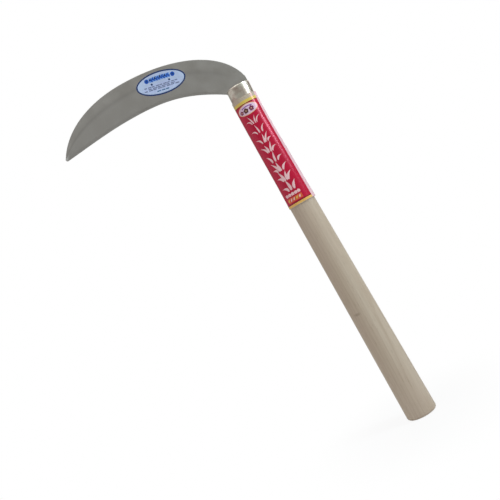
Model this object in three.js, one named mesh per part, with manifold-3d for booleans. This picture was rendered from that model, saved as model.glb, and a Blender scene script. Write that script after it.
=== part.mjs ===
// Hand sickle for cutting grass: a thin crescent blade of stainless sheet, a bright metal ferrule and an
// oval handle of plain wood, with a printed film label round the head and an oval sticker on the blade.
//
// Millimetres. The origin is the centre of the handle's flat butt face and +Z runs up the handle to the
// head. The blade reaches towards -X, and its ground face, the front, looks along -Y.

import * as THREE from 'three';
import { mergeVertices } from 'three/addons/utils/BufferGeometryUtils.js';
import Module from 'manifold-3d';

const wasm = await Module();
wasm.setup();

// ---------------------------------------------------------------------------------------------------
// Driving dimensions
// ---------------------------------------------------------------------------------------------------

// Handle: an oval that tapers evenly from the butt to the head
const buttWidth = 33.2; // along X, at the butt
const taper = 0.0198; // width lost for each millimetre of height
const ovalRatio = 0.78; // depth along Y for each millimetre of width
const buttRounding = 3; // radius of the rounded edge of the butt face
const leanStart = 338; // height where the head starts to run out of line
const headLean = 1.6; // how far out of line, towards +X, it is at the top of the ferrule

// Ferrule: a drawn cap whose top edge is turned in over the end of the wood
const ferruleWidth = 25.9;
const ferruleBottom = 361;
const ferruleTop = 389;
const ferruleWall = 0.8;
const ferruleRounding = 1.6; // outer radius of the turned top edge
const lipWidth = 2.8; // how far the turned edge reaches in
const fitGap = 0.3; // between the wood or the blade and whatever holds it

// Blade: plan points as (x, z); the front is ground from a ridge down to a narrow honed bevel
const bladeThickness = 1.5;
const tip = new THREE.Vector2(-190.7, 410.5); // the front of its blunt nose
const noseFoot = new THREE.Vector2(-189.2, 408.7); // where the nose runs into the cutting edge
const spineCrest = new THREE.Vector2(-103.2, 450.6);
const neckCorner = new THREE.Vector2(13.9, 394);
const edgeCrest = new THREE.Vector2(-113, 414.4);
const heel = new THREE.Vector2(-11.7, 386.7);
const ridgeShare = 0.36; // where the ridge runs, as a share of the width from the spine
const grindDepth = 0.7; // how far the ground face falls back by the time it meets the honed bevel
const honedWidth = 3;
const edgeThickness = 0.1;
const grindRunOut = [0.86, 0.96]; // along the blade, where the grinding fades out before the neck

// Tang: the blade's stem inside the handle, held in a saw kerf by two pins
const shoulderZ = 386;
const shoulderX = 13.7;
const tangX = [-6.5, 8]; // its sides where it leaves the neck
const tangEndX = [-3.6, 4.8]; // its sides at the lower end
const tangEndZ = 314;
const kerfBottom = 303;
const ferrulePin = { x: 0.9, z: 368, radius: 1.25 };
const tangPin = { x: 0.6, z: 332, radius: 1.5 };

// Printed label: thin film, a little loose at both ends and standing off along its seam on the +X side
const labelBottom = 251;
const labelTop = 375;
const labelThickness = 0.25;
const labelGap = 0.3;
const labelFlare = 0.35; // extra gap at the ends
const seamBulge = 0.9; // extra gap along the seam
const seamStart = 0.7; // where it starts, as a share of the half width from the centre line

// Oval sticker on the front of the blade
const stickerCentre = new THREE.Vector2(-65.2, 431.7);
const stickerHalfLength = 26.5;
const stickerHalfHeight = 12.3;
const stickerTilt = THREE.MathUtils.degToRad(-12.2);
const stickerThickness = 0.15;
const stickerGap = 0.1;

// Fineness of the curved surfaces
const ovalSides = 56;
const bladeStations = 48;
const stationCrowding = 1.4; // above 1, the stations stand closer together towards the tip
const roundingSteps = 4;
const labelRings = 6;
const pinSides = 24;

// ---------------------------------------------------------------------------------------------------
// Solids
// ---------------------------------------------------------------------------------------------------

function geometryFrom(vertices, triangles) {
  const geometry = new THREE.BufferGeometry();
  geometry.setAttribute('position', new THREE.Float32BufferAttribute(vertices, 3));
  geometry.setIndex(Array.from(triangles));
  geometry.computeVertexNormals();
  return geometry;
}

function toSolid(geometry) {
  const plain = geometry.clone();
  plain.deleteAttribute('normal');
  plain.deleteAttribute('uv');
  const merged = mergeVertices(plain);
  return new wasm.Manifold(new wasm.Mesh({
    numProp: 3,
    vertProperties: Float32Array.from(merged.attributes.position.array),
    triVerts: Uint32Array.from(merged.index.array),
  }));
}

function fromSolid(solid) {
  const { vertProperties, triVerts } = solid.getMesh();
  return geometryFrom(vertProperties, triVerts);
}

function cut(geometry, ...tools) {
  const left = tools.reduce((solid, tool) => solid.subtract(toSolid(tool)), toSolid(geometry));
  return fromSolid(left);
}

// A flat shape drawn in X and Z, given a thickness from y = front back to y = back.
function plate(shape, front, back) {
  const geometry = new THREE.ExtrudeGeometry(shape, {
    depth: back - front,
    bevelEnabled: false,
    curveSegments: ovalSides,
  });
  return geometry.rotateX(Math.PI / 2).translate(0, back, 0);
}

function box([x0, x1], [y0, y1], [z0, z1]) {
  const geometry = new THREE.BoxGeometry(x1 - x0, y1 - y0, z1 - z0);
  return geometry.translate((x0 + x1) / 2, (y0 + y1) / 2, (z0 + z1) / 2);
}

function rodAlongY({ x, z }, radius, halfLength) {
  return new THREE.CylinderGeometry(radius, radius, 2 * halfLength, pinSides).translate(x, 0, z);
}

// ---------------------------------------------------------------------------------------------------
// Oval sections up the handle
// ---------------------------------------------------------------------------------------------------

function handleHalfWidth(z) {
  return (buttWidth - taper * z) / 2;
}

// The centre line is straight up to leanStart, then bends away gently.
function centreX(z) {
  const share = Math.max(0, z - leanStart) / (ferruleTop - leanStart);
  return headLean * share ** 2;
}

// One oval of the given half width. An inset moves it in by the same amount all round.
function ovalRing(z, halfWidth, inset = 0) {
  const ring = [];
  for (let side = 0; side < ovalSides; side += 1) {
    const angle = (2 * Math.PI * side) / ovalSides;
    ring.push([
      centreX(z) + (halfWidth - inset) * Math.cos(angle),
      (halfWidth * ovalRatio - inset) * Math.sin(angle),
      z,
    ]);
  }
  return ring;
}

function bridge(lower, upper) {
  const triangles = [];
  for (let side = 0; side < ovalSides; side += 1) {
    const next = (side + 1) % ovalSides;
    triangles.push(lower + side, lower + next, upper + next);
    triangles.push(lower + side, upper + next, upper + side);
  }
  return triangles;
}

// A solid bar through the rings, lowest first, closed by a flat face at each end.
function ovalBar(rings) {
  const vertices = rings.flat();
  const triangles = [];
  for (let level = 0; level + 1 < rings.length; level += 1) {
    triangles.push(...bridge(level * ovalSides, (level + 1) * ovalSides));
  }
  const topStart = (rings.length - 1) * ovalSides;
  const bottomCentre = vertices.length;
  const topCentre = bottomCentre + 1;
  for (const ring of [rings[0], rings.at(-1)]) {
    const z = ring[0][2];
    vertices.push([centreX(z), 0, z]);
  }
  for (let side = 0; side < ovalSides; side += 1) {
    const next = (side + 1) % ovalSides;
    triangles.push(bottomCentre, next, side);
    triangles.push(topCentre, topStart + side, topStart + next);
  }
  return geometryFrom(vertices.flat(), triangles);
}

// A closed wall through the rings: up the outside, over the top and down the inside.
function ovalSleeve(rings) {
  const triangles = [];
  for (let level = 0; level < rings.length; level += 1) {
    const next = (level + 1) % rings.length;
    triangles.push(...bridge(level * ovalSides, next * ovalSides));
  }
  return geometryFrom(rings.flat(2), triangles);
}

// ---------------------------------------------------------------------------------------------------
// Handle, ferrule and pins
// ---------------------------------------------------------------------------------------------------

const slotHalf = bladeThickness / 2 + fitGap;
const wellOutside = 30;
const wellAbove = ferruleTop + wellOutside;

function handleGeometry() {
  const rings = [];
  for (let step = 0; step <= roundingSteps; step += 1) {
    const angle = (Math.PI / 2) * (step / roundingSteps);
    const z = buttRounding * (1 - Math.cos(angle));
    rings.push(ovalRing(z, handleHalfWidth(z), buttRounding * (1 - Math.sin(angle))));
  }
  const shoulder = ferruleBottom - fitGap;
  const headHalf = ferruleWidth / 2;
  const headInset = ferruleWall + fitGap;
  const headTop = ferruleTop - ferruleWall - fitGap;
  rings.push(ovalRing(leanStart, handleHalfWidth(leanStart)));
  rings.push(ovalRing((leanStart + shoulder) / 2, handleHalfWidth((leanStart + shoulder) / 2)));
  rings.push(ovalRing(shoulder, handleHalfWidth(shoulder)));
  rings.push(ovalRing(shoulder, headHalf, headInset));
  rings.push(ovalRing((shoulder + headTop) / 2, headHalf, headInset));
  rings.push(ovalRing(headTop, headHalf, headInset));

  const kerf = box([-wellOutside, wellOutside], [-slotHalf, slotHalf], [kerfBottom, ferruleTop]);
  const pinHoles = [ferrulePin, tangPin].map((pin) => rodAlongY(pin, pin.radius + fitGap, wellOutside));
  return cut(ovalBar(rings), kerf, ...pinHoles);
}

function ferruleGeometry() {
  const half = ferruleWidth / 2;
  const rings = [ovalRing(ferruleBottom, half)];
  for (let step = 0; step <= roundingSteps; step += 1) {
    const angle = (Math.PI / 2) * (step / roundingSteps);
    const z = ferruleTop - ferruleRounding * (1 - Math.sin(angle));
    rings.push(ovalRing(z, half, ferruleRounding * (1 - Math.cos(angle))));
  }
  rings.push(ovalRing(ferruleTop, half, lipWidth));
  rings.push(ovalRing(ferruleTop - ferruleWall, half, lipWidth));
  rings.push(ovalRing(ferruleTop - ferruleWall, half, ferruleWall));
  rings.push(ovalRing(ferruleBottom, half, ferruleWall));

  const slotBottom = shoulderZ - 2 * fitGap;
  const slot = box([-wellOutside, wellOutside], [-slotHalf, slotHalf], [slotBottom, wellAbove]);
  const pinHole = rodAlongY(ferrulePin, ferrulePin.radius + fitGap, wellOutside);
  return cut(ovalSleeve(rings), slot, pinHole);
}

// A pin that ends flush with the oval surface it comes out of.
function pinGeometry(pin, surfaceHalfWidth) {
  const acrossShare = (pin.x - centreX(pin.z)) / surfaceHalfWidth;
  const halfDepth = surfaceHalfWidth * ovalRatio * Math.sqrt(1 - acrossShare ** 2);
  return rodAlongY(pin, pin.radius, halfDepth);
}

// ---------------------------------------------------------------------------------------------------
// Blade
// ---------------------------------------------------------------------------------------------------

function curveThrough(...beziers) {
  const path = new THREE.CurvePath();
  beziers.forEach((points) => path.add(new THREE.CubicBezierCurve(...points)));
  return path;
}

const spine = curveThrough(
  [tip, new THREE.Vector2(-175.7, 436.4), new THREE.Vector2(-142.7, spineCrest.y), spineCrest],
  [spineCrest, new THREE.Vector2(-40, spineCrest.y), new THREE.Vector2(6.2, 427.4), neckCorner],
);
const cuttingEdge = curveThrough(
  [tip, new THREE.Vector2(tip.x, 409.6), new THREE.Vector2(-190.1, noseFoot.y), noseFoot],
  [noseFoot, new THREE.Vector2(-166.5, 410.8), new THREE.Vector2(-138.2, edgeCrest.y), edgeCrest],
  [edgeCrest, new THREE.Vector2(-73.9, edgeCrest.y), new THREE.Vector2(-49.2, 410.6), heel],
);

// The section across the blade at a share of its length from the tip: three points along the front from
// the spine, two at the edge, and the back of the spine.
function bladeSection(along) {
  const back = bladeThickness / 2;
  const front = -back;
  const spinePoint = spine.getPoint(along);
  const edgePoint = cuttingEdge.getPoint(along);
  const width = spinePoint.distanceTo(edgePoint);
  const ground = 1 - THREE.MathUtils.smoothstep(along, ...grindRunOut);
  const ridge = spinePoint.clone().lerp(edgePoint, ridgeShare);
  const honedShare = Math.min(honedWidth / width, ridgeShare);
  const honedTop = edgePoint.clone().lerp(spinePoint, honedShare);
  const edgeFront = THREE.MathUtils.lerp(front, back - edgeThickness, ground);
  return [
    [spinePoint.x, front, spinePoint.y],
    [ridge.x, front, ridge.y],
    [honedTop.x, front + grindDepth * ground, honedTop.y],
    [edgePoint.x, edgeFront, edgePoint.y],
    [edgePoint.x, back, edgePoint.y],
    [spinePoint.x, back, spinePoint.y],
  ];
}

function crescentGeometry() {
  const sections = [];
  for (let station = 1; station <= bladeStations; station += 1) {
    sections.push(bladeSection((station / bladeStations) ** stationCrowding));
  }
  const corners = sections[0].length;
  const vertices = [[tip.x, bladeThickness / 2, tip.y], ...sections.flat()];
  const triangles = [];
  const lastStart = 1 + (sections.length - 1) * corners;
  for (let corner = 0; corner < corners; corner += 1) {
    const next = (corner + 1) % corners;
    triangles.push(0, 1 + next, 1 + corner);
    for (let start = 1; start < lastStart; start += corners) {
      const ahead = start + corners;
      triangles.push(start + corner, start + next, ahead + next);
      triangles.push(start + corner, ahead + next, ahead + corner);
    }
  }
  for (let corner = 1; corner + 1 < corners; corner += 1) {
    triangles.push(lastStart, lastStart + corner, lastStart + corner + 1);
  }
  return geometryFrom(vertices.flat(), triangles);
}

// The neck starts a little way inside the crescent, so that the two join.
function neckAndTangShape() {
  const joinDepth = 1.5;
  const [topLeft, topRight] = tangX;
  const [endLeft, endRight] = tangEndX;
  const endRadius = (endRight - endLeft) / 2;
  const shape = new THREE.Shape();
  shape.moveTo(heel.x, heel.y);
  shape.lineTo(heel.x, shoulderZ);
  shape.lineTo(topLeft, shoulderZ);
  shape.lineTo(endLeft, tangEndZ + endRadius);
  shape.absarc((endLeft + endRight) / 2, tangEndZ + endRadius, endRadius, Math.PI, 2 * Math.PI, false);
  shape.lineTo(topRight, shoulderZ);
  shape.lineTo(shoulderX, shoulderZ);
  shape.lineTo(neckCorner.x, neckCorner.y);
  shape.lineTo(neckCorner.x - joinDepth, neckCorner.y + joinDepth);
  shape.lineTo(heel.x, heel.y + joinDepth);
  return shape;
}

function bladeGeometry() {
  const half = bladeThickness / 2;
  const stem = plate(neckAndTangShape(), -half, half);
  const whole = fromSolid(toSolid(crescentGeometry()).add(toSolid(stem)));
  const pinHoles = [ferrulePin, tangPin].map((pin) => rodAlongY(pin, pin.radius + fitGap, wellOutside));
  return cut(whole, ...pinHoles);
}

// ---------------------------------------------------------------------------------------------------
// Printed label and sticker
// ---------------------------------------------------------------------------------------------------

// Moves the +X side of a ring outwards, where the film stands off along its seam.
function withSeamBulge(ring, halfWidth) {
  return ring.map(([x, y, z]) => {
    const share = (x - centreX(z)) / halfWidth;
    return [x + seamBulge * THREE.MathUtils.smoothstep(share, seamStart, 1), y, z];
  });
}

function labelGeometry() {
  const middle = (labelBottom + labelTop) / 2;
  const halfLength = (labelTop - labelBottom) / 2;
  const inner = [];
  const outer = [];
  for (let level = 0; level <= labelRings; level += 1) {
    const z = THREE.MathUtils.lerp(labelBottom, labelTop, level / labelRings);
    const gap = labelGap + labelFlare * ((z - middle) / halfLength) ** 4;
    const half = handleHalfWidth(z);
    inner.unshift(withSeamBulge(ovalRing(z, half, -gap), half));
    outer.push(withSeamBulge(ovalRing(z, half, -gap - labelThickness), half));
  }
  return ovalSleeve([...outer, ...inner]);
}

function stickerGeometry() {
  const outline = new THREE.Shape();
  outline.absellipse(
    stickerCentre.x,
    stickerCentre.y,
    stickerHalfLength,
    stickerHalfHeight,
    0,
    2 * Math.PI,
    false,
    stickerTilt,
  );
  const back = -bladeThickness / 2 - stickerGap;
  return plate(outline, back - stickerThickness, back);
}

// ---------------------------------------------------------------------------------------------------
// Assembly
// ---------------------------------------------------------------------------------------------------

const stainless = new THREE.MeshStandardMaterial({ color: 0x8a8781, roughness: 0.42, metalness: 0.9 });
const plated = new THREE.MeshStandardMaterial({ color: 0xcfccc2, roughness: 0.22, metalness: 1 });
const pinSteel = new THREE.MeshStandardMaterial({ color: 0x77777a, roughness: 0.5, metalness: 0.9 });
const paleWood = new THREE.MeshStandardMaterial({ color: 0xb3a48e, roughness: 0.7, metalness: 0 });
const redFilm = new THREE.MeshStandardMaterial({ color: 0xb91937, roughness: 0.25, metalness: 0 });
const blueSticker = new THREE.MeshStandardMaterial({ color: 0xc4d0f0, roughness: 0.4, metalness: 0 });

const sickle = new THREE.Group();

function addPiece(name, geometry, material) {
  const piece = new THREE.Mesh(geometry, material);
  piece.name = name;
  sickle.add(piece);
}

addPiece('handle', handleGeometry(), paleWood);
addPiece('ferrule', ferruleGeometry(), plated);
addPiece('blade', bladeGeometry(), stainless);
addPiece('ferrule_pin', pinGeometry(ferrulePin, ferruleWidth / 2), pinSteel);
addPiece('tang_pin', pinGeometry(tangPin, handleHalfWidth(tangPin.z)), pinSteel);
addPiece('blade_sticker', stickerGeometry(), blueSticker);
addPiece('handle_label', labelGeometry(), redFilm);

export default sickle;
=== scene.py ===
"""The looks of a hand sickle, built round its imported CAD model.

The handle stands on its butt with +Z up to the head. The blade reaches towards -X, and its ground face
looks along -Y, towards the camera. Lengths with _MM in their names are millimetres, as in the drawing;
everything that Blender is given is in metres.
"""

import math
from bisect import bisect_right

import bmesh
import bpy
from mathutils import Matrix, Vector, geometry, noise
from mathutils.bvhtree import BVHTree


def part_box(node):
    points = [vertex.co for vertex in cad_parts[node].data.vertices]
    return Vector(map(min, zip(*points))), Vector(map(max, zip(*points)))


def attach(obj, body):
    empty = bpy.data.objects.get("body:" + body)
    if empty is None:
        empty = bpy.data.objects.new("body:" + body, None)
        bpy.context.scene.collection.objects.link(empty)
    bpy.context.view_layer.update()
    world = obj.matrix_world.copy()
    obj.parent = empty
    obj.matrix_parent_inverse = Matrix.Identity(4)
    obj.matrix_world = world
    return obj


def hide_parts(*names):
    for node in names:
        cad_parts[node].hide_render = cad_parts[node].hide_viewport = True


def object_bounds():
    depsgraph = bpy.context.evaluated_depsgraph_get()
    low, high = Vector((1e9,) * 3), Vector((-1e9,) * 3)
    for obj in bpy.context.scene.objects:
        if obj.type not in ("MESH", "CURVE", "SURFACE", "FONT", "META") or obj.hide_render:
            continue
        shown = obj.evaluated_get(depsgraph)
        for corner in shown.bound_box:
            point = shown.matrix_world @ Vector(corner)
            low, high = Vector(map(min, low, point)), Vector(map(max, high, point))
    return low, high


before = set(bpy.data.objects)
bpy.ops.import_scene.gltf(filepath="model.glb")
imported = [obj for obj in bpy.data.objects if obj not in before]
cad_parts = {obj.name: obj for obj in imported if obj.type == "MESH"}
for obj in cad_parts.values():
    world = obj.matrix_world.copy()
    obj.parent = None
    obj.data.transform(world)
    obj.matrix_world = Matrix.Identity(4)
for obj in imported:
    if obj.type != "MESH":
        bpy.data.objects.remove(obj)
cad_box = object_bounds()

MM = 0.001

# ----------------------------------------------------------------------
# Places and sizes that come from the frame
# ----------------------------------------------------------------------

handle_low, handle_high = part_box("handle")
ferrule_low, ferrule_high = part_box("ferrule")
blade_low, blade_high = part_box("blade")
label_low, label_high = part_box("handle_label")
sticker_low, sticker_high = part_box("blade_sticker")
pin_boxes = [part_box("ferrule_pin"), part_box("tang_pin")]

BUTT_HALF_WIDTH = handle_high.x
OVAL_RATIO = handle_high.y / handle_high.x
FERRULE_TOP = ferrule_high.z
FERRULE_BOTTOM = ferrule_low.z
BLADE_THICKNESS = blade_high.y - blade_low.y

# ----------------------------------------------------------------------
# Sizes of the drawing, in millimetres
# ----------------------------------------------------------------------

# Handle
TAPER = 0.0198
BUTT_ROUNDING_MM = 3.0
LEAN_START_MM = 338
HEAD_LEAN_MM = 1.6
FERRULE_HALF_MM = 12.95
FERRULE_WALL_MM = 0.8
FERRULE_ROUNDING_MM = 1.6
LIP_MM = 2.8
FIT_GAP_MM = 0.3
KERF_BOTTOM_MM = 303

# Blade. Points are (x, z).
TIP = (blade_low.x / MM, 410.5)
NOSE_FOOT = (-189.2, 408.7)  # where the blunt tip runs into the cutting edge
SPINE_CREST = (-103.2, blade_high.z / MM)
NECK_CORNER = (13.9, 394)
EDGE_CREST = (-113, 414.4)
HEEL = (-11.7, 386.7)
SPINE_BEZIERS = [
    (TIP, (-175.7, 436.4), (-142.7, SPINE_CREST[1]), SPINE_CREST),
    (SPINE_CREST, (-40, SPINE_CREST[1]), (6.2, 427.4), NECK_CORNER),
]
EDGE_BEZIERS = [
    (TIP, (TIP[0], 409.6), (-190.1, NOSE_FOOT[1]), NOSE_FOOT),
    (NOSE_FOOT, (-166.5, 410.8), (-138.2, EDGE_CREST[1]), EDGE_CREST),
    (EDGE_CREST, (-73.9, EDGE_CREST[1]), (-49.2, 410.6), HEEL),
]
SHOULDER_Z = 386
SHOULDER_X = 13.7
SHOULDER_FALL_MM = 0.1  # without it, the shoulder's front and back faces would have no area
TANG_TOP_X = (8, -6.5)
TANG_END_X = (4.8, -3.6)
TANG_END_Z = 314
RIDGE_SHARE = 0.36
PAINTED_SHADE_RISE = 0.03  # how far over the ridge the painted shade is darkest, as a share of the width
PAINTED_SHADE_REACH = 0.1  # how far from there the painted shade fades out, as the same kind of share
GRIND_DEPTH_MM = 0.7
HONED_WIDTH_MM = 3.0
EDGE_THICKNESS_MM = 0.1
SPINE_ROUNDING_MM = 0.22
GRIND_RUN_OUT = (0.86, 0.96)  # where the grinding starts and stops fading, as shares of the length

# Printed film
FILM_MM = 0.12
STICKER_MM = 0.1
FILM_GAP_MM = 0.22
FILM_FLARE_MM = 0.4
SEAM_LIFT_MM = 0.2
SEAM_LIFT_REACH_MM = (14, 2)  # how far from the printed end the lift starts and is full
SEAM_BULGE_MM = 0.9
SEAM_BULGE_START = 0.7  # as a cosine of the angle from the side
RIPPLE_MM = 0.07
STICKER_HALF_LENGTH_MM = 26.4
STICKER_HALF_HEIGHT_MM = 12.2
STICKER_TILT = math.radians(-12.2)

# Fineness, mostly as counts of steps along or round a stretch
OVAL_SIDES = 144
ROUNDING_STEPS = 8
HANDLE_STEPS = 60
HEAD_STEPS = 8
FERRULE_STEPS = 30
ROD_SIDES = 40
CURVE_STEPS = 400
BLADE_STATIONS = 260
STATION_CROWDING = 1.25
SPINE_STEPS = 3
NECK_STEPS = 6
TANG_STEPS = 30
TANG_END_STEPS = 9
WRAP_STEPS = 1440
LABEL_COLUMNS = 150
LABEL_ROWS = 62
STICKER_RINGS = 10
PRINT_PITCH_MM = 0.7
PRINT_DECIMALS = 3

# Reach of the tools that cut, in metres
PAST_SIDES = 0.03
PAST_TOP = 0.01
ROD_LENGTH = 0.08


def lerp(a, b, share):
    return a + (b - a) * share


def smoothstep(value, low, high):
    share = min(1.0, max(0.0, (value - low) / (high - low)))
    return share * share * (3 - 2 * share)


def step_at(reach, wanted):
    """Where a wanted length falls in a rising list of lengths: the step's index, and the share along it."""
    low = min(max(bisect_right(reach, wanted) - 1, 0), len(reach) - 2)
    return low, (wanted - reach[low]) / (reach[low + 1] - reach[low])


# ----------------------------------------------------------------------
# Materials: node trees
# ----------------------------------------------------------------------


class Shader:
    """One node material, built node by node. Places are in metres, so a scale is features to a metre."""

    def __init__(self, name):
        self.material = bpy.data.materials.new(name)
        self.material.use_nodes = True
        self.tree = self.material.node_tree
        self.surface = self.tree.nodes["Principled BSDF"]

    def node(self, kind, inputs=(), **settings):
        made = self.tree.nodes.new("ShaderNode" + kind)
        for key, value in settings.items():
            setattr(made, key, value)
        for key, value in dict(inputs).items():
            self.feed(made.inputs[key], value)
        return made

    def feed(self, socket, value):
        if isinstance(value, bpy.types.NodeSocket):
            self.tree.links.new(value, socket)
        else:
            socket.default_value = value

    def finish(self, **inputs):
        for key, value in inputs.items():
            self.feed(self.surface.inputs[key.replace("_", " ")], value)
        return self.material

    def place(self):
        return self.node("TexCoord").outputs["Object"]

    def attribute(self, name, output="Fac"):
        return self.node("Attribute", attribute_name=name).outputs[output]

    def combine(self, x, y, z):
        return self.node("CombineXYZ", {"X": x, "Y": y, "Z": z}).outputs["Vector"]

    def parts(self, vector):
        """The x, y and z of a vector."""
        made = self.node("SeparateXYZ", {"Vector": vector})
        return made.outputs["X"], made.outputs["Y"], made.outputs["Z"]

    def scaled(self, vector, scale):
        made = self.node("VectorMath", {0: vector, 1: scale}, operation="MULTIPLY")
        return made.outputs["Vector"]

    def noise(self, vector, detail=3.0, roughness=0.55, distortion=0.0):
        inputs = {
            "Vector": vector,
            "Scale": 1.0,
            "Detail": detail,
            "Roughness": roughness,
            "Distortion": distortion,
        }
        return self.node("TexNoise", inputs).outputs["Fac"]

    def math(self, operation, a, b=0.0):
        return self.node("Math", {0: a, 1: b}, operation=operation).outputs["Value"]

    def length(self, x, y):
        """The length of the flat vector (x, y)."""
        squares = self.math("ADD", self.math("MULTIPLY", x, x), self.math("MULTIPLY", y, y))
        return self.math("SQRT", squares)

    def range(self, value, low, high, to_low=0.0, to_high=1.0, smooth=False):
        inputs = {
            "Value": value,
            "From Min": low,
            "From Max": high,
            "To Min": to_low,
            "To Max": to_high,
        }
        made = self.node("MapRange", inputs)
        made.interpolation_type = "SMOOTHSTEP" if smooth else "LINEAR"
        return made.outputs["Result"]

    def mix(self, share, a, b, blend="MIX"):
        inputs = {"Fac": share, "Color1": a, "Color2": b}
        return self.node("MixRGB", inputs, blend_type=blend).outputs["Color"]

    def bump(self, height, strength, distance):
        inputs = {"Height": height, "Strength": strength, "Distance": distance}
        return self.node("Bump", inputs).outputs["Normal"]


def rgb(red, green, blue):
    """A colour given as it shows on screen, 0 to 255, in the linear values that shaders take."""

    def linear(value):
        share = value / 255
        return share / 12.92 if share <= 0.04045 else ((share + 0.055) / 1.055) ** 2.4

    return (linear(red), linear(green), linear(blue), 1.0)


def wood_material():
    heart_x, heart_y = -0.034, 0.052
    rings_per_metre = 420
    knot_x, knot_z = -0.009, 0.1238
    knot_core, knot_edge, knot_flatness = 0.0003, 0.0024, 0.5
    s = Shader("pale_wood")
    place = s.place()

    # Growth rings are shells round a heart well outside the handle, so they run straight up the sides
    # and show as arcs on the butt.
    wander = s.noise(s.scaled(place, (9, 9, 2.2)), detail=2)
    x, y, z = s.parts(place)
    radius = s.length(s.math("SUBTRACT", x, heart_x), s.math("SUBTRACT", y, heart_y))
    radius = s.math("ADD", radius, s.math("MULTIPLY", wander, 0.012))
    ring = s.math("FRACT", s.math("MULTIPLY", radius, rings_per_metre))
    late_wood = s.range(ring, 0.55, 0.97, smooth=True)
    ring_end = s.range(ring, 0.97, 1.0, 1.0, 0.0)
    ring_tone = s.math("MULTIPLY", late_wood, ring_end)

    fibres = s.noise(s.scaled(place, (1500, 1500, 26)), detail=3, roughness=0.6)
    streaks = s.noise(s.scaled(place, (240, 240, 5)), detail=3)
    drift = s.noise(s.scaled(place, (30, 30, 9)), detail=2)
    pores = s.noise(s.scaled(place, (2600, 2600, 110)), detail=1)
    pore = s.range(pores, 0.66, 0.74)

    colour = s.mix(s.range(streaks, 0.3, 0.7), rgb(190, 172, 151), rgb(204, 189, 170))
    colour = s.mix(s.range(drift, 0.35, 0.7), colour, rgb(198, 180, 162))
    colour = s.mix(s.math("MULTIPLY", ring_tone, 0.24), colour, rgb(168, 144, 120))
    colour = s.mix(s.range(fibres, 0.35, 0.75, 0.0, 0.24), colour, rgb(158, 134, 112))
    colour = s.mix(s.math("MULTIPLY", pore, 0.4), colour, rgb(134, 108, 84))

    # A small grown-over knot on the front, wider than it is high
    across_knot = s.math("MULTIPLY", s.math("SUBTRACT", x, knot_x), knot_flatness)
    up_knot = s.math("SUBTRACT", z, knot_z)
    knot = s.range(s.length(across_knot, up_knot), knot_core, knot_edge, 1.0, 0.0, smooth=True)
    on_front = s.range(y, -0.003, -0.001, 1.0, 0.0)
    knot = s.math("MULTIPLY", knot, on_front)
    colour = s.mix(s.math("MULTIPLY", knot, 0.4), colour, rgb(118, 92, 74))

    # The wood is darker where the surface turns up or down, as on the butt's rounding and end grain.
    _, _, facing_up = s.parts(s.node("NewGeometry").outputs["Normal"])
    end_grain = s.range(s.math("ABSOLUTE", facing_up), 0.5, 0.95)
    colour = s.mix(s.math("MULTIPLY", end_grain, 0.5), colour, rgb(150, 124, 94))

    height = s.math("ADD", fibres, s.math("MULTIPLY", ring_tone, 0.5))
    height = s.math("SUBTRACT", height, s.math("MULTIPLY", pore, 0.9))
    rough = s.range(streaks, 0.2, 0.8, 0.42, 0.56)
    return s.finish(
        Base_Color=colour,
        Roughness=rough,
        Specular_IOR_Level=0.5,
        Normal=s.bump(height, strength=0.35, distance=0.00006),
    )


def blade_material():
    """Stainless sheet. along and across are distances over the blade in metres, across from the spine.
    ground goes from 0 on the flat to 1 on the ground face, honed is 1 on the narrow bevel, and ridge is 1
    along the ridge, where a darker line of shade is painted in."""
    s = Shader("stainless")
    along = s.attribute("along")
    across = s.attribute("across")
    ground = s.attribute("ground")
    honed = s.attribute("honed")
    ridge = s.attribute("ridge")

    def scratches(along_scale, across_scale, seed):
        """Fine lines, as many to the metre each way as the scales say."""
        u = s.math("MULTIPLY", along, along_scale)
        v = s.math("MULTIPLY", across, across_scale)
        return s.noise(s.combine(u, v, seed), detail=3)

    rolled = scratches(160, 5200, 0.0)
    wheel = scratches(4200, 120, 3.0)
    stone = scratches(7500, 300, 7.0)
    clouds = s.noise(s.scaled(s.place(), (60, 60, 60)), detail=4, roughness=0.6)
    specks = s.noise(s.scaled(s.place(), (1400, 1400, 1400)), detail=2)

    lines = s.mix(ground, rolled, wheel)
    lines = s.mix(honed, lines, stone)
    tone = s.range(clouds, 0.3, 0.7)
    colour = s.mix(tone, rgb(183, 181, 175), rgb(189, 187, 182))
    colour = s.mix(s.math("MULTIPLY", ground, 0.5), colour, rgb(195, 194, 190))
    # Painted light: the blade is lighter towards its tip.
    painted_light_near_tip = s.range(along, 0.06, 0.13, 0.35, 0.0, smooth=True)
    colour = s.mix(painted_light_near_tip, colour, rgb(208, 207, 203))
    # Painted shade: a darker line along the ridge, where the face bends.
    colour = s.mix(s.math("MULTIPLY", ridge, 0.6), colour, rgb(166, 164, 160))
    colour = s.mix(s.range(lines, 0.3, 0.7, 0.0, 0.3), colour, rgb(165, 163, 159))
    colour = s.mix(s.range(specks, 0.7, 0.8, 0.0, 0.3), colour, rgb(130, 127, 123))

    rough = s.math("ADD", s.range(clouds, 0.3, 0.7, 0.34, 0.42), s.range(lines, 0.3, 0.7, -0.04, 0.05))
    rough = s.math("SUBTRACT", rough, s.math("MULTIPLY", honed, 0.06))
    return s.finish(
        Base_Color=colour,
        Metallic=1.0,
        Roughness=rough,
        Normal=s.bump(lines, strength=0.22, distance=0.00003),
    )


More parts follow.
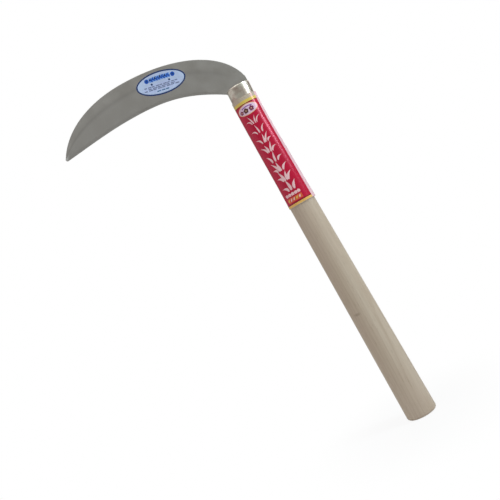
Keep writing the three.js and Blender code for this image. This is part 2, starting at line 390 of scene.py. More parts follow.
def plated_material():
    s = Shader("plated_steel")
    place = s.place()
    clouds = s.noise(s.scaled(place, (110, 110, 110)), detail=3, distortion=0.4)
    drawn = s.noise(s.scaled(place, (1800, 1800, 90)), detail=2)
    scuffs = s.noise(s.scaled(place, (500, 500, 1900)), detail=3, roughness=0.7)
    colour = s.mix(s.range(clouds, 0.4, 0.6), rgb(222, 217, 203), rgb(186, 168, 156))
    colour = s.mix(s.range(scuffs, 0.62, 0.75, 0.0, 0.4), colour, rgb(170, 164, 155))
    # Painted highlight: the rounded rim is lighter, standing in for the light it catches.
    rim_highlight_start, rim_highlight_full = FERRULE_TOP - 0.0045, FERRULE_TOP - 0.002
    _, _, height = s.parts(place)
    rim_highlight = s.range(height, rim_highlight_start, rim_highlight_full, smooth=True)
    colour = s.mix(s.math("MULTIPLY", rim_highlight, 0.2), colour, rgb(242, 236, 224))
    rough = s.math("ADD", s.range(clouds, 0.3, 0.7, 0.27, 0.42), s.range(drawn, 0.3, 0.7, -0.02, 0.04))
    relief = s.math("ADD", s.math("MULTIPLY", drawn, 0.25), scuffs)
    return s.finish(
        Base_Color=colour,
        Metallic=1.0,
        Roughness=rough,
        Normal=s.bump(relief, strength=0.12, distance=0.00003),
    )


def pin_material():
    s = Shader("pin_steel")
    place = s.place()
    turned = s.noise(s.scaled(place, (900, 5000, 900)), detail=2)
    stain = s.noise(s.scaled(place, (400, 400, 400)), detail=3)
    colour = s.mix(s.range(stain, 0.4, 0.7), rgb(150, 150, 152), rgb(112, 104, 96))
    return s.finish(
        Base_Color=colour,
        Metallic=1.0,
        Roughness=s.range(turned, 0.3, 0.7, 0.32, 0.52),
        Normal=s.bump(turned, strength=0.2, distance=0.00003),
    )


def film_material(name, rough, gloss, gloss_colour):
    """Printed film. Its inks are in the mesh's colour attribute, one flat colour to each printed shape."""
    s = Shader(name)
    place = s.place()
    ink = s.attribute("ink", "Color")
    grain = s.noise(s.scaled(place, (2400, 2400, 2400)), detail=2)
    patches = s.noise(s.scaled(place, (70, 70, 40)), detail=3)
    creases = s.noise(s.scaled(place, (260, 260, 60)), detail=2, distortion=0.6)
    darker = s.mix(1.0, ink, rgb(205, 196, 200), "MULTIPLY")
    colour = s.mix(s.range(grain, 0.35, 0.7, 0.0, 0.35), ink, darker)
    colour = s.mix(s.range(patches, 0.4, 0.75, 0.0, 0.4), colour, darker)
    return s.finish(
        Base_Color=colour,
        Roughness=s.range(patches, 0.3, 0.7, rough, rough + 0.05),
        Specular_IOR_Level=gloss,
        Specular_Tint=gloss_colour,
        Normal=s.bump(creases, strength=0.15, distance=0.0002),
    )


# ----------------------------------------------------------------------
# Objects and meshes: helpers
# ----------------------------------------------------------------------


def add_to_scene(name, data):
    made = bpy.data.objects.new(name, data)
    bpy.context.scene.collection.objects.link(made)
    return made


def add_object(name, vertices, faces, material):
    mesh = bpy.data.meshes.new(name)
    mesh.from_pydata([Vector(v) for v in vertices], [], faces)
    mesh.validate()
    mesh.materials.append(material)
    return add_to_scene(name, mesh)


def add_bmesh(name, bm):
    mesh = bpy.data.meshes.new(name)
    bm.to_mesh(mesh)
    bm.free()
    return add_to_scene(name, mesh)


def smooth_except(piece, degrees):
    """Smooth shading, with every edge that turns more than this left sharp."""
    mesh = piece.data
    mesh.shade_smooth()
    bm = bmesh.new()
    bm.from_mesh(mesh)
    limit = math.radians(degrees)
    for edge in bm.edges:
        edge.smooth = len(edge.link_faces) == 2 and edge.calc_face_angle() < limit
    bm.to_mesh(mesh)
    bm.free()


def apply_modifiers(piece):
    graph = bpy.context.evaluated_depsgraph_get()
    made = bpy.data.meshes.new_from_object(piece.evaluated_get(graph))
    old = piece.data
    piece.modifiers.clear()
    piece.data = made
    bpy.data.meshes.remove(old)


def cut_with(piece, cutters):
    for cutter in cutters:
        modifier = piece.modifiers.new("cut", "BOOLEAN")
        modifier.object = cutter
        modifier.operation = "DIFFERENCE"
        modifier.solver = "EXACT"
    apply_modifiers(piece)
    for cutter in cutters:
        bpy.data.objects.remove(cutter)


def soften_edges(piece, width, degrees):
    modifier = piece.modifiers.new("soften", "BEVEL")
    modifier.width = width
    modifier.segments = 2
    modifier.limit_method = "ANGLE"
    modifier.angle_limit = math.radians(degrees)
    modifier.use_clamp_overlap = True
    apply_modifiers(piece)


def finish_piece(piece, node):
    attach(piece, "root")
    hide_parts(node)


def box_cutter(low, high):
    corners = [(x, y, z) for x in (low[0], high[0]) for y in (low[1], high[1]) for z in (low[2], high[2])]
    faces = [(0, 1, 3, 2), (4, 6, 7, 5), (0, 4, 5, 1), (2, 3, 7, 6), (0, 2, 6, 4), (1, 5, 7, 3)]
    return add_object("cutter", corners, faces, None)


def rod_cutter(pin_box, extra):
    """A rod along Y round one pin, wider than it by extra."""
    low, high = pin_box
    radius = (high.x - low.x) / 2 + extra
    bm = bmesh.new()
    bmesh.ops.create_cone(
        bm,
        cap_ends=True,
        segments=ROD_SIDES,
        radius1=radius,
        radius2=radius,
        depth=ROD_LENGTH,
    )
    bm.transform(Matrix.Translation((low + high) / 2) @ Matrix.Rotation(math.pi / 2, 4, "X"))
    return add_bmesh("cutter", bm)


def slot_cutter(bottom, top):
    """A slab right across the head, as thick as the blade and its gap on both sides."""
    half = BLADE_THICKNESS / 2 + FIT_GAP_MM * MM
    return box_cutter((-PAST_SIDES, -half, bottom), (PAST_SIDES, half, top))


# ----------------------------------------------------------------------
# Oval sections up the handle
# ----------------------------------------------------------------------


def handle_half(z):
    return BUTT_HALF_WIDTH - TAPER * z / 2


def centre_x(z):
    share = max(0.0, z - LEAN_START_MM * MM) / (FERRULE_TOP - LEAN_START_MM * MM)
    return HEAD_LEAN_MM * MM * share**2


def oval_point(z, half, angle, out=0.0):
    """A point on the oval of that half width, moved out by the same amount all round."""
    return Vector(
        (
            centre_x(z) + (half + out) * math.cos(angle),
            (half * OVAL_RATIO + out) * math.sin(angle),
            z,
        )
    )


def oval_ring(z, half, out=0.0):
    return [oval_point(z, half, 2 * math.pi * side / OVAL_SIDES, out) for side in range(OVAL_SIDES)]


def bridge(lower, upper):
    faces = []
    for side in range(OVAL_SIDES):
        after = (side + 1) % OVAL_SIDES
        faces.append((lower + side, lower + after, upper + after, upper + side))
    return faces


# ----------------------------------------------------------------------
# Handle and ferrule
# ----------------------------------------------------------------------


def make_handle(material):
    rings = []
    rounding = BUTT_ROUNDING_MM * MM
    for step in range(ROUNDING_STEPS + 1):
        angle = math.pi / 2 * step / ROUNDING_STEPS
        z = rounding * (1 - math.cos(angle))
        rings.append(oval_ring(z, handle_half(z), -rounding * (1 - math.sin(angle))))
    shoulder = FERRULE_BOTTOM - FIT_GAP_MM * MM
    for step in range(1, HANDLE_STEPS + 1):
        z = lerp(rounding, shoulder, step / HANDLE_STEPS)
        rings.append(oval_ring(z, handle_half(z)))
    head_half = FERRULE_HALF_MM * MM
    head_inset = -(FERRULE_WALL_MM + FIT_GAP_MM) * MM
    head_top = FERRULE_TOP + head_inset
    for step in range(HEAD_STEPS + 1):
        rings.append(oval_ring(lerp(shoulder, head_top, step / HEAD_STEPS), head_half, head_inset))

    vertices = [point for ring in rings for point in ring]
    faces = [tuple(reversed(range(OVAL_SIDES)))]
    for level in range(len(rings) - 1):
        faces += bridge(level * OVAL_SIDES, (level + 1) * OVAL_SIDES)
    faces.append(tuple(range(len(vertices) - OVAL_SIDES, len(vertices))))
    piece = add_object("wooden_handle", vertices, faces, material)

    kerf = slot_cutter(KERF_BOTTOM_MM * MM, FERRULE_TOP)
    cut_with(piece, [kerf] + [rod_cutter(pin_box, FIT_GAP_MM * MM) for pin_box in pin_boxes])
    smooth_except(piece, degrees=35)
    finish_piece(piece, "handle")


def make_ferrule(material):
    half = FERRULE_HALF_MM * MM
    rounding = FERRULE_ROUNDING_MM * MM
    wall = FERRULE_WALL_MM * MM
    bend_start = FERRULE_TOP - rounding
    rings = []
    for step in range(FERRULE_STEPS + 1):
        z = lerp(FERRULE_BOTTOM, bend_start, step / FERRULE_STEPS)
        rings.append(oval_ring(z, half))
    for step in range(1, ROUNDING_STEPS + 1):
        angle = math.pi / 2 * step / ROUNDING_STEPS
        z = bend_start + rounding * math.sin(angle)
        rings.append(oval_ring(z, half, -rounding * (1 - math.cos(angle))))
    rings.append(oval_ring(FERRULE_TOP, half, -LIP_MM * MM))
    rings.append(oval_ring(FERRULE_TOP - wall, half, -LIP_MM * MM))
    rings.append(oval_ring(FERRULE_TOP - wall, half, -wall))
    rings.append(oval_ring(FERRULE_BOTTOM, half, -wall))

    vertices = [point for ring in rings for point in ring]
    faces = []
    for level in range(len(rings)):
        faces += bridge(level * OVAL_SIDES, (level + 1) % len(rings) * OVAL_SIDES)
    piece = add_object("metal_ferrule", vertices, faces, material)

    slot = slot_cutter((SHOULDER_Z - 2 * FIT_GAP_MM) * MM, FERRULE_TOP + PAST_TOP)
    cut_with(piece, [slot, rod_cutter(pin_boxes[0], FIT_GAP_MM * MM)])
    soften_edges(piece, width=0.12 * MM, degrees=40)
    dent(piece, depth=0.12 * MM, dents_per_metre=190)
    smooth_except(piece, degrees=50)
    finish_piece(piece, "ferrule")


def dent(piece, depth, dents_per_metre):
    """Pushes the outside in by smooth noise, as hammering the cap on leaves it."""
    for vertex in piece.data.vertices:
        across = Vector((vertex.co.x - centre_x(vertex.co.z), vertex.co.y / OVAL_RATIO, 0))
        is_outside = across.length > (FERRULE_HALF_MM - FERRULE_WALL_MM / 2) * MM
        if is_outside:
            amount = noise.noise(vertex.co * dents_per_metre) * depth
            vertex.co -= across.normalized() * abs(amount)


# ----------------------------------------------------------------------
# Blade
# ----------------------------------------------------------------------


def bezier_points(control, count):
    p0, p1, p2, p3 = [Vector(p) for p in control]
    points = []
    for step in range(count + 1):
        t = step / count
        start = (1 - t) ** 3 * p0 + 3 * (1 - t) ** 2 * t * p1
        points.append(start + 3 * (1 - t) * t * t * p2 + t**3 * p3)
    return points


class Outline:
    """A run of beziers, read by the share of its length."""

    def __init__(self, beziers):
        self.points = []
        for control in beziers:
            self.points += bezier_points(control, CURVE_STEPS)[bool(self.points):]
        self.reach = [0.0]
        for before, after in zip(self.points, self.points[1:]):
            self.reach.append(self.reach[-1] + (after - before).length)

    def at(self, share):
        step, along = step_at(self.reach, share * self.reach[-1])
        return self.points[step].lerp(self.points[step + 1], along)


spine = Outline(SPINE_BEZIERS)
cutting_edge = Outline(EDGE_BEZIERS)


def spine_rounding(width):
    return min(SPINE_ROUNDING_MM, width * 0.1)


def bevel_start(width):
    return width - min(HONED_WIDTH_MM, RIDGE_SHARE * width)


def front_depths(width, grinding):
    """(distance from the spine, depth behind the front plane) down the front face, in millimetres."""
    half_line = min(0.25, width * 0.01)  # the ridge and the bevel's start are blended over two of these
    ridge = RIDGE_SHARE * width
    honed = bevel_start(width)
    ground_depth = GRIND_DEPTH_MM * grinding
    edge_depth = lerp(0.0, BLADE_THICKNESS / MM - EDGE_THICKNESS_MM, grinding)
    rows = []
    rounding = spine_rounding(width)
    for step in range(SPINE_STEPS + 1):
        angle = math.pi / 2 * step / SPINE_STEPS
        rows.append((rounding * (1 - math.cos(angle)), rounding * (1 - math.sin(angle))))
    rows += [(lerp(rounding, ridge - half_line, share), 0.0) for share in (0.2, 0.45, 0.7, 1.0)]
    fall = ground_depth / max(honed - ridge, 1e-6)
    rows.append((ridge + half_line, fall * half_line))
    for share in (0.15, 0.35, 0.55, 0.75, 0.9, 1.0):
        place = lerp(ridge + half_line, honed - half_line, share)
        rows.append((place, fall * (place - ridge)))
    honed_fall = (edge_depth - ground_depth) / max(width - honed, 1e-6)
    for share in (0.0, 0.5, 1.0):
        place = lerp(honed + half_line, width, share)
        rows.append((place, ground_depth + honed_fall * (place - honed)))
    return rows


def section(spine_point, edge_point, grinding):
    """The loop of points round the blade where it is cut from a spine point to an edge point."""
    width = (edge_point - spine_point).length
    across = (edge_point - spine_point) / max(width, 1e-9)
    front = -BLADE_THICKNESS / MM / 2
    back = -front
    rounding = spine_rounding(width)
    rows = [(place, front + depth) for place, depth in front_depths(width, grinding)]
    rows += [(lerp(width, rounding, share), back) for share in (0.0, 0.12, 0.35, 0.6, 0.8, 1.0)]
    rows.append((0.0, back - rounding))
    loop = []
    for place, y in rows:
        point = spine_point + across * place
        loop.append((point.x, y, point.y, place, width))
    return loop


def blade_loops():
    """(loop of points, share of the blade's length) from the tip to the neck, then on down the tang."""
    loops = []
    for station in range(1, BLADE_STATIONS + 1):
        # Closer together at the tip, where the spine turns fastest
        share = (station / BLADE_STATIONS) ** STATION_CROWDING
        grinding = 1 - smoothstep(share, *GRIND_RUN_OUT)
        loops.append((section(spine.at(share), cutting_edge.at(share), grinding), share))
    neck_sides = (Vector(NECK_CORNER), Vector(HEEL))
    shoulder_sides = (Vector((SHOULDER_X, SHOULDER_Z)), Vector((HEEL[0], SHOULDER_Z)))
    for step in range(1, NECK_STEPS + 1):
        share = step / NECK_STEPS
        sides = [neck.lerp(shoulder, share) for neck, shoulder in zip(neck_sides, shoulder_sides)]
        loops.append((section(*sides, 0.0), 1.0))
    end_radius = (TANG_END_X[0] - TANG_END_X[1]) / 2
    for step in range(TANG_STEPS + 1):
        share = step / TANG_STEPS
        z = lerp(SHOULDER_Z - SHOULDER_FALL_MM, TANG_END_Z + end_radius, share)
        sides = [Vector((lerp(top, end, share), z)) for top, end in zip(TANG_TOP_X, TANG_END_X)]
        loops.append((section(*sides, 0.0), 1.0))
    middle = (TANG_END_X[0] + TANG_END_X[1]) / 2
    for step in range(1, TANG_END_STEPS):
        angle = math.pi / 2 * step / TANG_END_STEPS
        z = TANG_END_Z + end_radius * (1 - math.sin(angle))
        reach = end_radius * math.cos(angle)
        loops.append((section(Vector((middle + reach, z)), Vector((middle - reach, z)), 0.0), 1.0))
    return loops


def make_blade(material):
    loops = blade_loops()
    size = len(loops[0][0])
    nearly_back = BLADE_THICKNESS / MM / 2 - 0.02
    vertices = [(TIP[0] * MM, BLADE_THICKNESS / 2, TIP[1] * MM)]
    along, across, ground, honed, ridge = [0.0], [0.0], [1.0], [0.0], [0.0]
    length = spine.reach[-1] * MM
    for loop, share in loops:
        grinding = 1 - smoothstep(share, *GRIND_RUN_OUT)
        for x, y, z, place, width in loop:
            vertices.append((x * MM, y * MM, z * MM))
            is_front = y < nearly_back
            below_ridge = place > RIDGE_SHARE * width
            on_bevel = place > bevel_start(width)
            along.append(share * length if share < 1 else length + (NECK_CORNER[1] - z) * MM)
            across.append(place * MM)
            ground.append(grinding if is_front and below_ridge else 0.0)
            honed.append(grinding if is_front and on_bevel else 0.0)
            # The ridge weight places the painted shade, darkest a little over the ridge.
            from_painted_shade_line = abs(place / width - RIDGE_SHARE + PAINTED_SHADE_RISE)
            ridge.append(grinding * (1 - smoothstep(from_painted_shade_line, 0, PAINTED_SHADE_REACH)))
    faces = []
    for corner in range(size):
        after = (corner + 1) % size
        faces.append((0, 1 + after, 1 + corner))
        for start in range(1, 1 + (len(loops) - 1) * size, size):
            faces.append((start + corner, start + after, start + size + after, start + size + corner))
    last = 1 + (len(loops) - 1) * size
    faces.append(tuple(range(last, last + size)))
    piece = add_object("sickle_blade", vertices, faces, material)
    layers = {"along": along, "across": across, "ground": ground, "honed": honed, "ridge": ridge}
    for name, values in layers.items():
        layer = piece.data.attributes.new(name, "FLOAT", "POINT")
        layer.data.foreach_set("value", values)
    cut_with(piece, [rod_cutter(pin_box, FIT_GAP_MM * MM) for pin_box in pin_boxes])
    smooth_except(piece, degrees=12)
    finish_piece(piece, "blade")
    return piece


# ----------------------------------------------------------------------
# Printing: flat shapes, in millimetres over the sheet
# ----------------------------------------------------------------------

RED = rgb(196, 12, 54)
DARK_RED = rgb(120, 10, 34)
GOLD = rgb(236, 212, 102)
AMBER = rgb(244, 196, 104)
PEACH = rgb(244, 202, 160)
ORANGE = rgb(226, 108, 60)
PINK = rgb(255, 214, 216)
LILAC = rgb(238, 212, 232)
VIOLET = rgb(150, 96, 176)
PLUM = rgb(122, 52, 84)
BROWN = rgb(92, 62, 56)
CLEAR = rgb(202, 192, 170)
TAB = rgb(246, 204, 212)
PAPER = rgb(246, 226, 230)
NAVY = rgb(36, 60, 112)
SKY = rgb(194, 212, 243)
PALE_BLUE = rgb(197, 213, 250)
MID_BLUE = rgb(114, 163, 238)
ROYAL = rgb(28, 88, 188)
GREY_INK = rgb(122, 134, 170)
TEAL_INK = rgb(70, 118, 160)


def bar(left, right, low, high):
    return [(left, low), (right, low), (right, high), (left, high)]


def ellipse(centre, radii, sides=64):
    turns = [2 * math.pi * side / sides for side in range(sides)]
    return [(centre[0] + radii[0] * math.cos(t), centre[1] + radii[1] * math.sin(t)) for t in turns]


def blade_of_grass(root, point, bend, width, steps=9):
    """A tapered, curved stroke from its root to its point. bend is how far it is bowed to its left."""
    root, point = Vector(root), Vector(point)
    side = Vector((root.y - point.y, point.x - root.x)).normalized()
    middle = root.lerp(point, 0.5) + side * bend
    left, right = [], []
    for step in range(steps + 1):
        t = step / steps
        at = root.lerp(middle, t).lerp(middle.lerp(point, t), t)
        half = width / 2 * (0.45 + 0.55 * math.sin(math.pi * t**0.7)) * (1 - t**3) + 0.05
        left.append(tuple(at + side * half))
        right.append(tuple(at - side * half))
    return left + right[::-1]


def sprig(centre, size, kind, stroke=1.9):
    """A tuft of grass with drooping blades. kind, from 0, changes how it leans and spreads."""
    x, y = centre
    half_w, half_h = size[0] / 2, size[1] / 2
    lean = (-1) ** kind
    # Root across, point across, point height, bend
    four_open = [
        (-0.3, -0.98, -0.2, -3.6),
        (-0.1, -0.5, 0.95, -0.8),
        (0.15, 0.35, 0.7, 1.2),
        (0.3, 0.98, 0.35, 3.2),
    ]
    three = [
        (-0.35, -0.85, 0.5, -2.2),
        (0.0, 0.2, 1.0, 0.9),
        (0.3, 0.98, -0.3, 3.4),
    ]
    four_close = [
        (-0.3, -0.98, 0.1, -3),
        (-0.05, 0.1, 0.85, -0.8),
        (0.1, 0.75, 0.9, 1.6),
        (0.35, 0.9, -0.45, 2.6),
    ]
    tufts = (four_open, three, four_close)
    strokes = []
    for root, across, upward, bend in tufts[kind % len(tufts)]:
        foot = (x + lean * root * half_w, y - half_h)
        point = (x + lean * across * half_w, y + upward * half_h)
        strokes.append(blade_of_grass(foot, point, lean * bend, stroke, 14))
    return strokes


def subdivided(outline):
    """The same outline with points along its long edges, so that the sheet can bend at them."""
    points = []
    for start, end in zip(outline, outline[1:] + outline[:1]):
        start, end = Vector(start), Vector(end)
        steps = max(1, round((end - start).length / PRINT_PITCH_MM))
        points += [tuple(start.lerp(end, step / steps)) for step in range(steps)]
    return points


def turns_left(outline):
    doubled_area = sum(a[0] * b[1] - b[0] * a[1] for a, b in zip(outline, outline[1:] + outline[:1]))
    return doubled_area > 0


def snapped(point):
    """The point rounded off, so that shapes which meet share their points."""
    return Vector([round(value, PRINT_DECIMALS) for value in point])


def printed_film(name, regions, grid, place, film, material):
    """One thin closed sheet. Each region is (outline, colour), and a later one covers an earlier one.
    grid is more points for the sheet to bend at, and film its thickness. place turns a point of the flat
    print and a height over the film's underside into a place in space."""
    points, loops = [], []
    for outline, _ in regions:
        outline = subdivided(outline)
        corners = list(range(len(points), len(points) + len(outline)))
        loops.append(corners if turns_left(outline) else corners[::-1])
        points += [snapped(p) for p in outline]
    points += [snapped(p) for p in grid]
    inside_only, nearness = 1, 1e-4
    made = geometry.delaunay_2d_cdt(points, [], loops, inside_only, nearness)
    flat, _, triangles, _, _, owners = made

    count = len(flat)
    vertices = [place(p.x, p.y, film) for p in flat] + [place(p.x, p.y, 0.0) for p in flat]
    faces = [tuple(t) for t in triangles]
    colours = [regions[max(owner)][1] if owner else regions[0][1] for owner in owners]
    for triangle in triangles:
        faces.append(tuple(count + corner for corner in reversed(triangle)))
    # Walls close the sheet wherever only one triangle uses an edge.
    edges = [pair for triangle in triangles for pair in zip(triangle, triangle[1:] + triangle[:1])]
    shared = set(edges)
    for a, b in edges:
        if (b, a) not in shared:
            faces.append((b, a, count + a, count + b))
    colours += [PAPER] * (len(faces) - len(colours))
    piece = add_object(name, vertices, faces, material)
    ink = piece.data.color_attributes.new("ink", "FLOAT_COLOR", "CORNER")
    for polygon in piece.data.polygons:
        for corner in polygon.loop_indices:
            ink.data[corner].color = colours[polygon.index]
    return piece


# ----------------------------------------------------------------------
# Label round the handle
# ----------------------------------------------------------------------

LABEL_LENGTH_MM = (label_high.z - label_low.z) / MM
LABEL_MEAN_HALF_MM = handle_half((label_high.z + label_low.z) / 2) / MM
SEAM_ANGLE = math.radians(-34)  # where the printed end lies: front right, a little before the side
OVERLAP_ANGLE = math.radians(14)
WINDING_SKEW = math.radians(5)  # how far the bottom of the film is turned back from its top
WRAP_START = SEAM_ANGLE - OVERLAP_ANGLE
WRAP_TURN = 2 * math.pi + OVERLAP_ANGLE


def oval_arc_table():
    """Length round the mean oval, in millimetres, at equal angles from the film's hidden end onwards."""
    reach = [0.0]
    for step in range(WRAP_STEPS):
        angle = WRAP_START + WRAP_TURN * (step + 0.5) / WRAP_STEPS
        dx = LABEL_MEAN_HALF_MM * math.sin(angle)
        dy = LABEL_MEAN_HALF_MM * OVAL_RATIO * math.cos(angle)
        reach.append(reach[-1] + math.hypot(dx, dy) * WRAP_TURN / WRAP_STEPS)
    return reach


ARC = oval_arc_table()
WRAP_MM = ARC[-1]


def wrap_angle(distance):
    step, along = step_at(ARC, distance)
    return WRAP_START + WRAP_TURN * (step + along) / WRAP_STEPS


def wrap_distance(angle):
    share = (angle - WRAP_START) / WRAP_TURN
    return ARC[round(share * WRAP_STEPS)]


FRONT_MM = wrap_distance(math.radians(270))
BACK_MM = wrap_distance(math.radians(90))
TAB_END_MM = wrap_distance(math.radians(14))


def place_on_handle(u, v, lift):
    """u is the distance round the film from its hidden end, v the height from its bottom edge."""
    z = label_low.z + v * MM
    angle = wrap_angle(min(max(u, 0.0), WRAP_MM)) - WINDING_SKEW * (1 - v / LABEL_LENGTH_MM)
    ends = abs(2 * v / LABEL_LENGTH_MM - 1)
    gap = FILM_GAP_MM + FILM_FLARE_MM * ends**5
    lift_start, lift_full = [WRAP_MM - reach for reach in SEAM_LIFT_REACH_MM]
    gap += SEAM_LIFT_MM * smoothstep(u, lift_start, lift_full)
    ripple = RIPPLE_MM * noise.noise(Vector((u * 0.12, v * 0.05, 1.7)))
    point = oval_point(z, handle_half(z), angle, (gap + ripple + lift) * MM)
    point.x += SEAM_BULGE_MM * MM * smoothstep(math.cos(angle), SEAM_BULGE_START, 1.0)
    return point


def flower(centre, radius):
    """Five petals, as overlapping circles round a centre."""
    shapes = []
    for petal in range(5):
        angle = math.radians(90 + 72 * petal)
        middle = (centre[0] + 0.55 * radius * math.cos(angle), centre[1] + 0.55 * radius * math.sin(angle))
        shapes.append(ellipse(middle, (0.46 * radius, 0.46 * radius), 14))
    return shapes


def label_bands():
    """Bands round both ends, from each end inwards: clear margin, bright stripe, dark line."""
    bands = []
    edge = LABEL_LENGTH_MM
    for height, colour in ((4.1, CLEAR), (3.1, GOLD), (0.9, DARK_RED)):
        bands.append((bar(TAB_END_MM, WRAP_MM, edge - height, edge), colour))
        edge -= height
    edge = 0
    for height, colour in ((0.4, CLEAR), (2.4, AMBER), (1.0, DARK_RED)):
        bands.append((bar(TAB_END_MM, WRAP_MM, edge, edge + height), colour))
        edge += height
    return bands


def label_badge():
    """An oval with three flowers under an arc."""
    x, y = FRONT_MM - 2.3, LABEL_LENGTH_MM - 13.7
    reach, rise, sag, width = 6, 3.6, 0.9, 1.1
    arc = [(x - reach + i, y + rise - sag * (i / reach - 1) ** 2) for i in range(2 * reach + 1)]
    regions = [
        (ellipse((x, y), (11.8, 5.6)), PEACH),
        (ellipse((x, y), (10.9, 4.9)), LILAC),
        (arc + [(arc_x, arc_y - width) for arc_x, arc_y in reversed(arc)], VIOLET),
    ]
    for offset, radius, colour in ((-7.6, 2.2, PLUM), (-2.3, 2.8, BROWN), (4.0, 2.8, PLUM)):
        middle = (x + offset, y - 0.9)
        regions += [(petal, colour) for petal in flower(middle, radius)]
        regions.append((ellipse(middle, (0.6, 0.6), 16), PEACH))
    return regions


def label_tufts():
    """A column of tufts of grass, taller and bolder towards the bottom."""
    count = 8
    first, last = LABEL_LENGTH_MM - 25.2, 22.4
    regions = []
    for index in range(count):
        down = index / (count - 1)
        centre = (FRONT_MM - 2.6, lerp(first, last, down))
        size = (18, lerp(9.5, 12, down))
        stroke = lerp(1.35, 2.8, down)
        regions += [(shape, PINK) for shape in sprig(centre, size, index, stroke)]
    return regions


def label_foot():
    """A row of small flowers, and an orange panel with pale leaves."""
    count = 5
    regions = []
    for index in range(count):
        regions += [(petal, PINK) for petal in flower((FRONT_MM - 10.4 + index * 3.3, 12.6), 1.8)]
    regions.append((bar(FRONT_MM - 12.5, FRONT_MM + 4.0, 5.0, 9.6), ORANGE))
    for index in range(count):
        x = FRONT_MM - 10.6 + index * 3.1
        leaf = blade_of_grass((x - 0.9, 6.2), (x + 0.9, 9.0), 0.5, 1.3)
        regions.append((leaf, PINK if index % 3 else GOLD))
    return regions


def label_back():
    """A pale panel of rules that stand for small print, under one more tuft."""
    half_panel, half_rule = 9, 7.4
    first, pitch, height, indent = 74, 3.4, 0.8, 5
    regions = [(bar(BACK_MM - half_panel, BACK_MM + half_panel, 22, 78), PAPER)]
    for index in range(15):
        y = first - index * pitch
        left = BACK_MM - half_rule + (indent if index % 4 == 3 else 0)
        regions.append((bar(left, BACK_MM + half_rule, y - height, y), GREY_INK))
    return regions + [(shape, PINK) for shape in sprig((BACK_MM, 96), (17, 15), 2)]


def label_regions():
    ground = [
        (bar(0, WRAP_MM, 0, LABEL_LENGTH_MM), TAB),
        (bar(TAB_END_MM, WRAP_MM, 0, LABEL_LENGTH_MM), RED),
    ]
    return ground + label_bands() + label_badge() + label_tufts() + label_foot() + label_back()


def make_label(material):
    grid = []
    for column in range(LABEL_COLUMNS + 1):
        for row in range(LABEL_ROWS + 1):
            grid.append((WRAP_MM * column / LABEL_COLUMNS, LABEL_LENGTH_MM * row / LABEL_ROWS))
    piece = printed_film("printed_label", label_regions(), grid, place_on_handle, FILM_MM, material)
    smooth_except(piece, degrees=40)
    finish_piece(piece, "handle_label")


# ----------------------------------------------------------------------
# Oval sticker on the blade
# ----------------------------------------------------------------------


def garland():
    """A leafy garland on a shallow arc, with a round berry at each end."""

    def arc_height(x):
        return 5.5 - 0.004 * x * x

    regions = []
    steps = 12
    across = [lerp(-11.4, 11.2, step / steps) for step in range(steps + 1)]
    for half, colour in ((2.3, MID_BLUE), (0.35, NAVY)):
        upper = [(x, arc_height(x) + half) for x in reversed(across)]
        lower = [(x, arc_height(x) - half) for x in across]
        regions.append((lower + upper, colour))
    leaves = 16
    for index in range(leaves):
        x = lerp(-10.9, 8.9, index / (leaves - 1))
        side = (-1) ** index
        length = 2.9 if index % 3 else 2.2
        foot = (x, arc_height(x) - 0.2 * side)
        point = (x + 1.9, arc_height(x) + length * side)
        leaf = blade_of_grass(foot, point, -0.5 * side, 1.7)
        regions.append((leaf, ROYAL if index % 4 else NAVY))
    for x in (-14.0, 14.0):
        regions.append((ellipse((x, 5.0), (2.3, 2.4), 24), ROYAL))
        regions.append((ellipse((x, 5.0), (0.8, 0.8), 12), NAVY))
    return regions


def sticker_rules():
    """Rules that stand for small print, on a paler ground under two dots."""
    regions = [(ellipse((0, -4.0), (20.5, 4.9), 60), PALE_BLUE)]
    for x in (-9.7, 9.2):
        regions.append((ellipse((x, 0.5), (1.1, 1.1), 16), NAVY))
    half_height = 0.55
    for y, reach, words in ((-1.9, 18.5, 9), (-3.6, 14.5, 6), (-5.1, 19.0, 8)):
        for index in range(words):
            start = lerp(-reach, reach, index / words)
            length = 2 * reach / words * (0.88 if index % 2 else 0.7)
            regions.append((bar(start, start + length, y - half_height, y + half_height), GREY_INK))
    for start, end in ((-6.4, -2.2), (-1.4, 2.4), (3.1, 6.6)):
        regions.append((bar(start, end, -8.4, -7.3), TEAL_INK))
    return regions


def sticker_regions():
    long, high = STICKER_HALF_LENGTH_MM, STICKER_HALF_HEIGHT_MM
    border = 1.5
    ground = [
        (ellipse((0, 0), (long, high), 120), NAVY),
        (ellipse((0, 0), (long - border, high - border), 110), SKY),
    ]
    return ground + garland() + sticker_rules()


def make_sticker(material, blade):
    middle = (sticker_low + sticker_high) / 2
    surface = BVHTree.FromObject(blade, bpy.context.evaluated_depsgraph_get())
    cos_tilt, sin_tilt = math.cos(STICKER_TILT), math.sin(STICKER_TILT)
    clearance = 0.03 * MM
    well_in_front = -0.05

    def place(u, v, lift):
        x = middle.x + (u * cos_tilt - v * sin_tilt) * MM
        z = middle.z + (u * sin_tilt + v * cos_tilt) * MM
        hit = surface.ray_cast(Vector((x, well_in_front, z)), Vector((0, 1, 0)))[0]
        return Vector((x, hit.y - clearance - lift * MM, z))

    grid = []
    for ring in range(1, STICKER_RINGS):
        share = ring / STICKER_RINGS
        radii = (STICKER_HALF_LENGTH_MM * share, STICKER_HALF_HEIGHT_MM * share)
        grid += ellipse((0, 0), radii, sides=12 + 8 * ring)
    piece = printed_film("oval_sticker", sticker_regions(), grid, place, STICKER_MM, material)
    smooth_except(piece, degrees=40)
    finish_piece(piece, "blade_sticker")


# ----------------------------------------------------------------------
# Camera, light and floor
# ----------------------------------------------------------------------


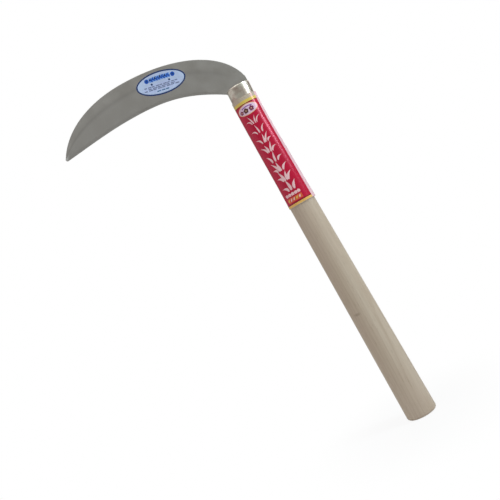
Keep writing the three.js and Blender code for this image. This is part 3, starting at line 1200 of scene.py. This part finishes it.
def make_camera():
    """Square on to the blade's front and turned so that the handle runs down to the right."""
    camera = add_to_scene("camera", bpy.data.cameras.new("camera"))
    camera.data.sensor_width = 36
    camera.data.lens = 43.1
    distance = 0.62
    aim = Vector((-0.0712, 0, 0.2354))
    turn = math.radians(29.76)
    right = Vector((math.cos(turn), 0, -math.sin(turn)))
    up = Vector((math.sin(turn), 0, math.cos(turn)))
    back = right.cross(up)
    placed = Matrix((right, up, back)).transposed().to_4x4()
    placed.translation = aim + back * distance
    camera.matrix_world = placed
    bpy.context.scene.camera = camera


def soft_light(name, azimuth, elevation, distance, size, power, target, tint=(1, 1, 1)):
    """A soft rectangular light. Azimuth 0 is in front of the blade, and 90 is away from its tip."""
    lamp = bpy.data.lights.new(name, "AREA")
    lamp.shape = "RECTANGLE"
    lamp.size, lamp.size_y = size
    lamp.energy = power
    lamp.color = tint
    turn, rise = math.radians(azimuth), math.radians(elevation)
    towards = Vector((math.sin(turn) * math.cos(rise), -math.cos(turn) * math.cos(rise), math.sin(rise)))
    light = add_to_scene(name, lamp)
    light.location = target + towards * distance
    light.rotation_euler = towards.to_track_quat("Z", "Y").to_euler()
    light.visible_camera = False


def make_lights():
    middle = (cad_box[0] + cad_box[1]) / 2
    head = Vector((0, 0, 0.33))
    # Azimuth, elevation, distance, size and power
    soft_light("key", 61.3, 31.8, 0.8, (0.2, 0.75), 4.8, head, tint=(0.9, 1.05, 1.1))
    soft_light("fill", -80, 8, 1.3, (1.7, 1.5), 2.6, middle, tint=(1.0, 0.99, 1.03))
    soft_light("top", -20, 72, 1.2, (0.9, 0.9), 3.6, middle)
    soft_light("rear", 155, 35, 1.4, (1.0, 1.2), 3.6, middle)


def seen_or_lit(nodes, links, seen, lit):
    """One shader for what the camera sees directly and another for what lights and reflects."""
    path = nodes.new("ShaderNodeLightPath")
    choice = nodes.new("ShaderNodeMixShader")
    links.new(path.outputs["Is Camera Ray"], choice.inputs["Fac"])
    links.new(lit.outputs[0], choice.inputs[1])
    links.new(seen.outputs[0], choice.inputs[2])
    return choice.outputs[0]


def make_world():
    world = bpy.data.worlds.new("studio")
    bpy.context.scene.world = world
    world.use_nodes = True
    nodes, links = world.node_tree.nodes, world.node_tree.links
    nodes.clear()
    seen = nodes.new("ShaderNodeBackground")
    seen.inputs["Color"].default_value = (1, 1, 1, 1)
    lit = nodes.new("ShaderNodeBackground")
    lit.inputs["Color"].default_value = (1.0, 0.98, 0.95, 1)
    lit.inputs["Strength"].default_value = 0.35
    output = nodes.new("ShaderNodeOutputWorld")
    links.new(seen_or_lit(nodes, links, seen, lit), output.inputs["Surface"])


def make_floor():
    """A pale floor that takes a soft shadow near the object and melts into the white behind it."""
    radius = 6.0
    shadow_reach = (0.02, 0.14)
    s = Shader("studio_floor")
    x, y, _ = s.parts(s.place())
    from_butt = s.length(x, y)
    far = s.range(from_butt, *shadow_reach, 0.9, 1.0, smooth=True)
    s.finish(Base_Color=(0.8, 0.8, 0.8, 1), Roughness=0.9, Specular_IOR_Level=0.1)
    nodes, links = s.tree.nodes, s.tree.links
    white = nodes.new("ShaderNodeEmission")
    white.inputs["Color"].default_value = (1, 1, 1, 1)
    fade = nodes.new("ShaderNodeMixShader")
    links.new(far, fade.inputs["Fac"])
    links.new(s.surface.outputs[0], fade.inputs[1])
    links.new(white.outputs[0], fade.inputs[2])
    output = nodes["Material Output"]
    links.new(seen_or_lit(nodes, links, fade, s.surface), output.inputs["Surface"])

    bm = bmesh.new()
    bmesh.ops.create_circle(bm, cap_ends=True, segments=96, radius=radius)
    floor = add_bmesh("studio_floor", bm)
    floor.data.materials.append(s.material)
    floor.location.z = handle_low.z


# ----------------------------------------------------------------------
# Assembly
# ----------------------------------------------------------------------

make_camera()
make_world()
make_lights()
make_floor()

make_handle(wood_material())
make_ferrule(plated_material())
sickle_blade = make_blade(blade_material())
make_label(film_material("label_film", rough=0.22, gloss=0.95, gloss_colour=(1.0, 0.42, 0.55, 1.0)))
sticker_film = film_material("sticker_film", rough=0.4, gloss=0.3, gloss_colour=(1.0, 1.0, 1.0, 1.0))
make_sticker(sticker_film, sickle_blade)

steel = pin_material()
for name in ("ferrule_pin", "tang_pin"):
    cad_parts[name].data.materials.clear()
    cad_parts[name].data.materials.append(steel)

bpy.context.scene.view_settings.view_transform = "Standard"
